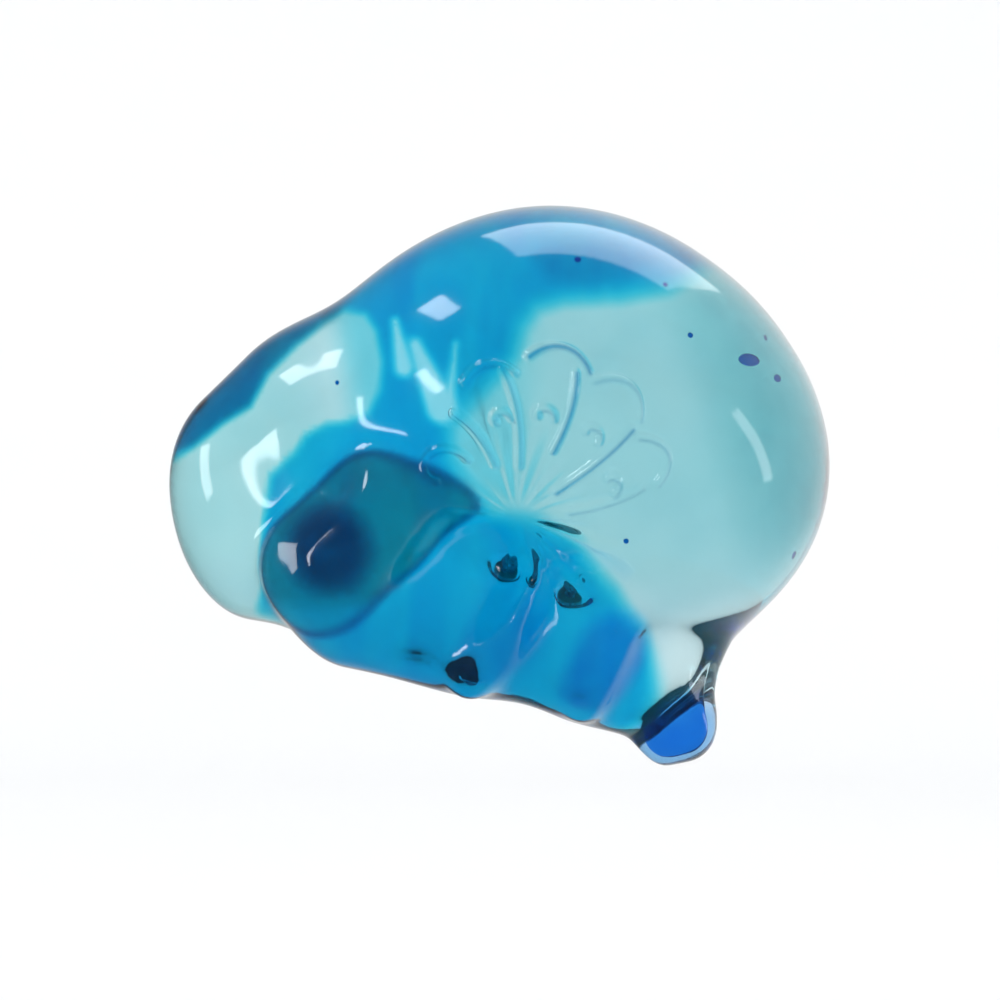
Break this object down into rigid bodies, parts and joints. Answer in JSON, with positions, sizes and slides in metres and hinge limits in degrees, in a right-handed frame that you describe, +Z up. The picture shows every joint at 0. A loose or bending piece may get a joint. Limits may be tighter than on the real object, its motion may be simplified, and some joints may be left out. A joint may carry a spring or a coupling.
{
  "type": "stress ball",
  "caption": "Clear gel-filled stress ball gripped so gel bulges between the finger grooves, with a springy free dome above and a rear fill plug.",
  "frame": {"origin": "on the back of the ball, where the palm of the holding hand presses it", "axes": "+X towards the big free lobe, -Y towards the fingertips, +Z up"},
  "size_m": [0.1187, 0.0852, 0.0995],
  "materials": {
    "clear_skin": "clear glossy moulded rubber",
    "blue_gel": "translucent blue gel",
    "plug_rubber": "translucent satin rubber",
    "adhesive": "cured clear adhesive"
  },
  "bodies": {
    "grip": {"skin": "clear_skin", "gel_grip": "blue_gel", "gel_neck": "blue_gel", "fill_plug": "plug_rubber", "plug_adhesive": "adhesive"},
    "dome": {"gel_dome": "blue_gel"}
  },
  "joints": [
    {"name": "squeeze", "type": "slide", "parent": "grip", "child": "dome", "axis": [0.5299, 0, 0.848], "range_m": [-0.012, 0.007], "stiffness_N_per_m": 3000, "deforming": ["skin", "gel_neck"]}
  ]
}
